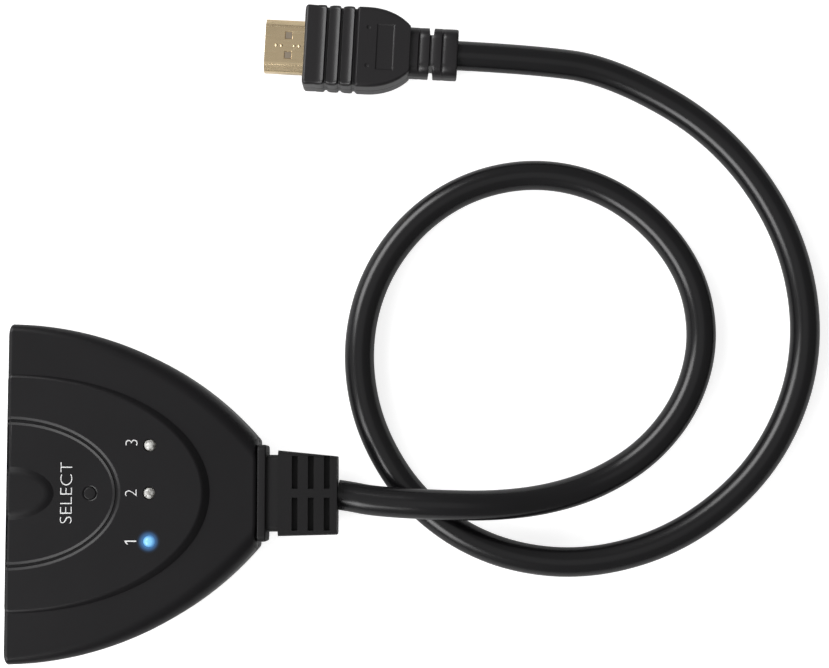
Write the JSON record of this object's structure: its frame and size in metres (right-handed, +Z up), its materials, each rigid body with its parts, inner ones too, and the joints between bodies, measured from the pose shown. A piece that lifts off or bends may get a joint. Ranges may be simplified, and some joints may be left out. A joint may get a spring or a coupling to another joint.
{
  "type": "video input switch",
  "caption": "Flat arched switch box with video sockets along its straight back, a select button and indicator lamps on top, and a moulded lead that ends in a video plug.",
  "frame": {"origin": "under the middle of the case, on the surface that it stands on", "axes": "+Z up, +X from the socket face to the lead's boot, +Y along the case's width towards input 3"},
  "size_m": [0.2061, 0.1681, 0.0194],
  "materials": {
    "case_plastic": "satin black moulded ABS",
    "button_plastic": "satin black moulded ABS",
    "lamp_clear": "clear cast resin",
    "lamp_lit": "clear cast resin, lit blue",
    "lead_vinyl": "semi-gloss black soft PVC",
    "boot_vinyl": "matte black soft PVC",
    "overmould_vinyl": "satin black PVC",
    "gold_shell": "gold plated stamped steel",
    "socket_metal": "nickel plated stamped steel",
    "contact_metal": "gold flashed copper alloy",
    "black_insulator": "moulded glass filled nylon",
    "board_laminate": "glass fibre laminate with green mask",
    "chip_epoxy": "moulded epoxy",
    "pin_metal": "tin plated copper",
    "screw_steel": "zinc plated steel",
    "spring_steel": "bare spring steel",
    "capacitor_ceramic": "fired ceramic",
    "resistor_ceramic": "glazed film on ceramic",
    "wire_vinyl": "coloured PVC insulation",
    "core_plastic": "natural polyethylene"
  },
  "bodies": {
    "case": {"top_shell": "case_plastic", "bottom_shell": "case_plastic", "main_board": "board_laminate", "indicator_legs": "pin_metal", "case_screws": "screw_steel", "cable_boot": "boot_vinyl", "lead": "lead_vinyl", "switch_housing": "chip_epoxy", "switch_cover": "socket_metal", "switch_dome": "spring_steel", "switch_terminals": "pin_metal", "indicator_1": "lamp_lit", "indicator_2": "lamp_clear", "indicator_3": "lamp_clear", "switching_chip": "chip_epoxy", "switching_chip_pins": "pin_metal", "control_chip": "chip_epoxy", "control_chip_pins": "pin_metal", "regulator": "chip_epoxy", "regulator_pins": "pin_metal", "chip_capacitors": "capacitor_ceramic", "chip_resistors": "resistor_ceramic", "lead_inner": "lead_vinyl", "crimp_ring": "contact_metal", "conductors": "wire_vinyl", "plug_overmould": "overmould_vinyl", "plug_shell": "gold_shell", "plug_insulator": "black_insulator", "plug_contacts": "contact_metal", "plug_core": "core_plastic", "lead_in_plug": "lead_vinyl", "input_1_shell": "socket_metal", "input_1_insulator": "black_insulator", "input_1_contacts": "contact_metal", "input_2_shell": "socket_metal", "input_2_insulator": "black_insulator", "input_2_contacts": "contact_metal", "input_3_shell": "socket_metal", "input_3_insulator": "black_insulator", "input_3_contacts": "contact_metal"},
    "button": {"select_button": "button_plastic", "switch_plunger": "button_plastic"}
  },
  "joints": [
    {"name": "select_press", "type": "slide", "parent": "case", "child": "button", "axis": [0, 0, -1], "range_m": [0, 0.00025], "stiffness_N_per_m": 2500, "deforming": ["switch_dome"]}
  ]
}
